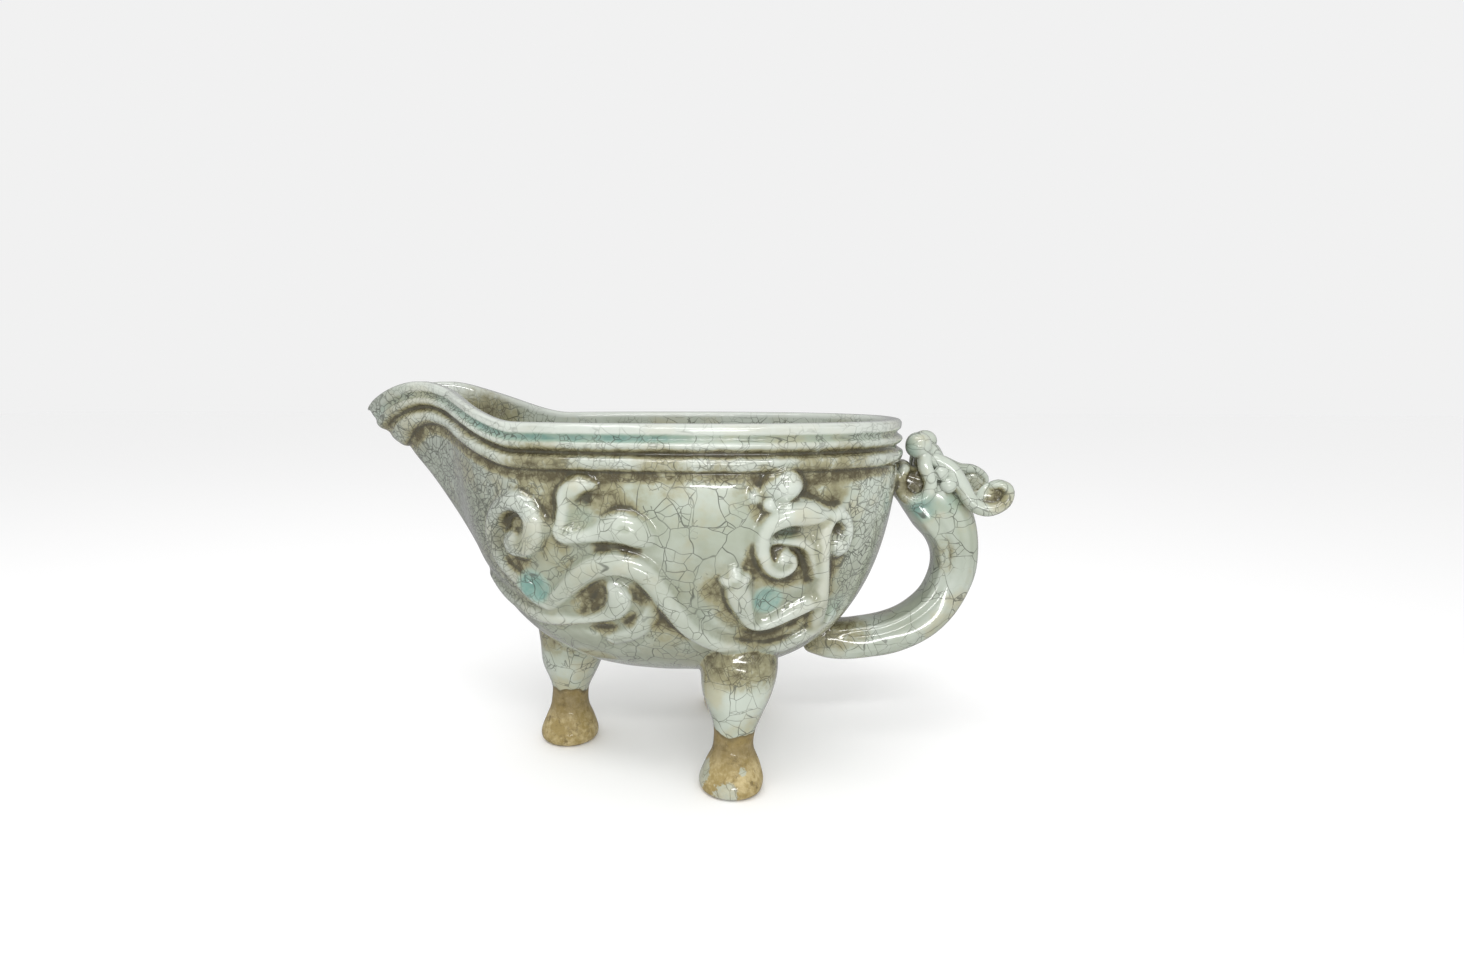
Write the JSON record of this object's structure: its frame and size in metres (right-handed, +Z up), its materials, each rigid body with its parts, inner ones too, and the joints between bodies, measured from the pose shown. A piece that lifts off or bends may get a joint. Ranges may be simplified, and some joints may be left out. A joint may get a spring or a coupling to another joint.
{
  "type": "tripod yi vessel",
  "caption": "Pear-shaped glazed ceramic pouring bowl with a rising spout, three cup feet, a dragon-head loop handle and a dragon in relief on each side.",
  "frame": {"origin": "the ground under the middle of the vessel's box, level with the soles of the three feet", "axes": "+Z up, -X along the spout, +X along the handle, -Y to the side that the picture shows"},
  "size_m": [0.1993, 0.0942, 0.1215],
  "materials": {
    "celadon_glaze": "gloss"
  },
  "bodies": {
    "root": {"yi_vessel": "celadon_glaze"}
  },
  "joints": []
}
